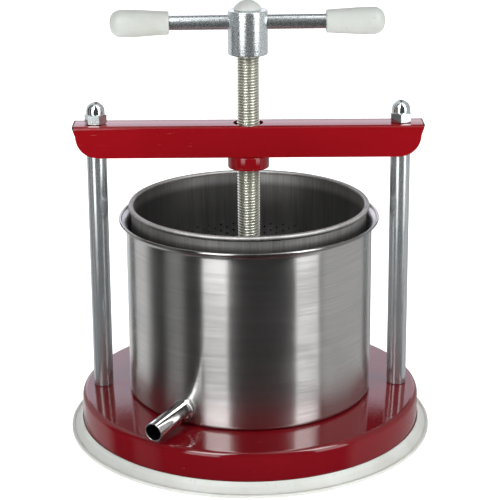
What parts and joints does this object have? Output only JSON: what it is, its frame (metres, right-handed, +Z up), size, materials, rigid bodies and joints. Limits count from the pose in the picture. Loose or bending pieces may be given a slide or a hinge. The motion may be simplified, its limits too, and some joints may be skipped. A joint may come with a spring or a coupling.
{
  "type": "basket wine press",
  "caption": "Small screw press with a perforated stainless basket in a spouted pot, on a red pan with two columns and a crossbeam.",
  "frame": {"origin": "centre of the foot ring, on the surface that it stands on", "axes": "+Z up along the screw, +X along the crossbeam to the right, -Y to the front"},
  "size_m": [0.322, 0.322, 0.3842],
  "materials": {
    "red_paint": "gloss",
    "zinc_steel": "zinc plated",
    "screw_steel": "bright, slightly yellow zinc",
    "stainless_steel": "brushed",
    "polished_steel": "polished",
    "white_plastic": "satin"
  },
  "bodies": {
    "frame": {"base_pan": "red_paint", "foot_ring": "white_plastic", "column_left": "zinc_steel", "column_right": "zinc_steel", "pan_washer_left": "zinc_steel", "pan_washer_right": "zinc_steel", "pan_nut_left": "zinc_steel", "pan_nut_right": "zinc_steel", "acorn_nut_left": "zinc_steel", "acorn_nut_right": "zinc_steel", "crossbeam": "red_paint", "beam_nut": "red_paint"},
    "press_carriage": {"press_plate": "stainless_steel", "plate_hub": "stainless_steel", "hub_grub_screw": "zinc_steel"},
    "screw": {"spindle": "screw_steel", "head_boss": "zinc_steel", "head_cap": "white_plastic", "bar_grub_screw": "zinc_steel", "t_bar": "zinc_steel", "grip_left": "white_plastic", "grip_right": "white_plastic"},
    "pot": {"pot_shell": "stainless_steel", "spout_tube": "polished_steel", "spout_collar": "polished_steel"},
    "basket": {"basket": "stainless_steel"}
  },
  "joints": [
    {"name": "press_slide", "type": "slide", "parent": "frame", "child": "press_carriage", "axis": [0, 0, 1], "range_m": [-0.05875, 0.10375]},
    {"name": "screw_turn", "type": "hinge", "parent": "press_carriage", "child": "screw", "pos_m": [0, 0, 0.3], "axis": [0, 0, 1], "range_deg": [-8460, 14940]},
    {"name": "pot_turn", "type": "hinge", "parent": "frame", "child": "pot", "pos_m": [0, 0, 0.1], "axis": [0, 0, 1], "range_deg": [-51, 113]},
    {"name": "basket_turn", "type": "hinge", "parent": "pot", "child": "basket", "pos_m": [0, 0, 0.1], "axis": [0, 0, 1], "continuous": true}
  ],
  "couplings": [
    {"joint": "press_slide", "follows": "screw_turn", "m_per_rad": 0.00039789}
  ]
}
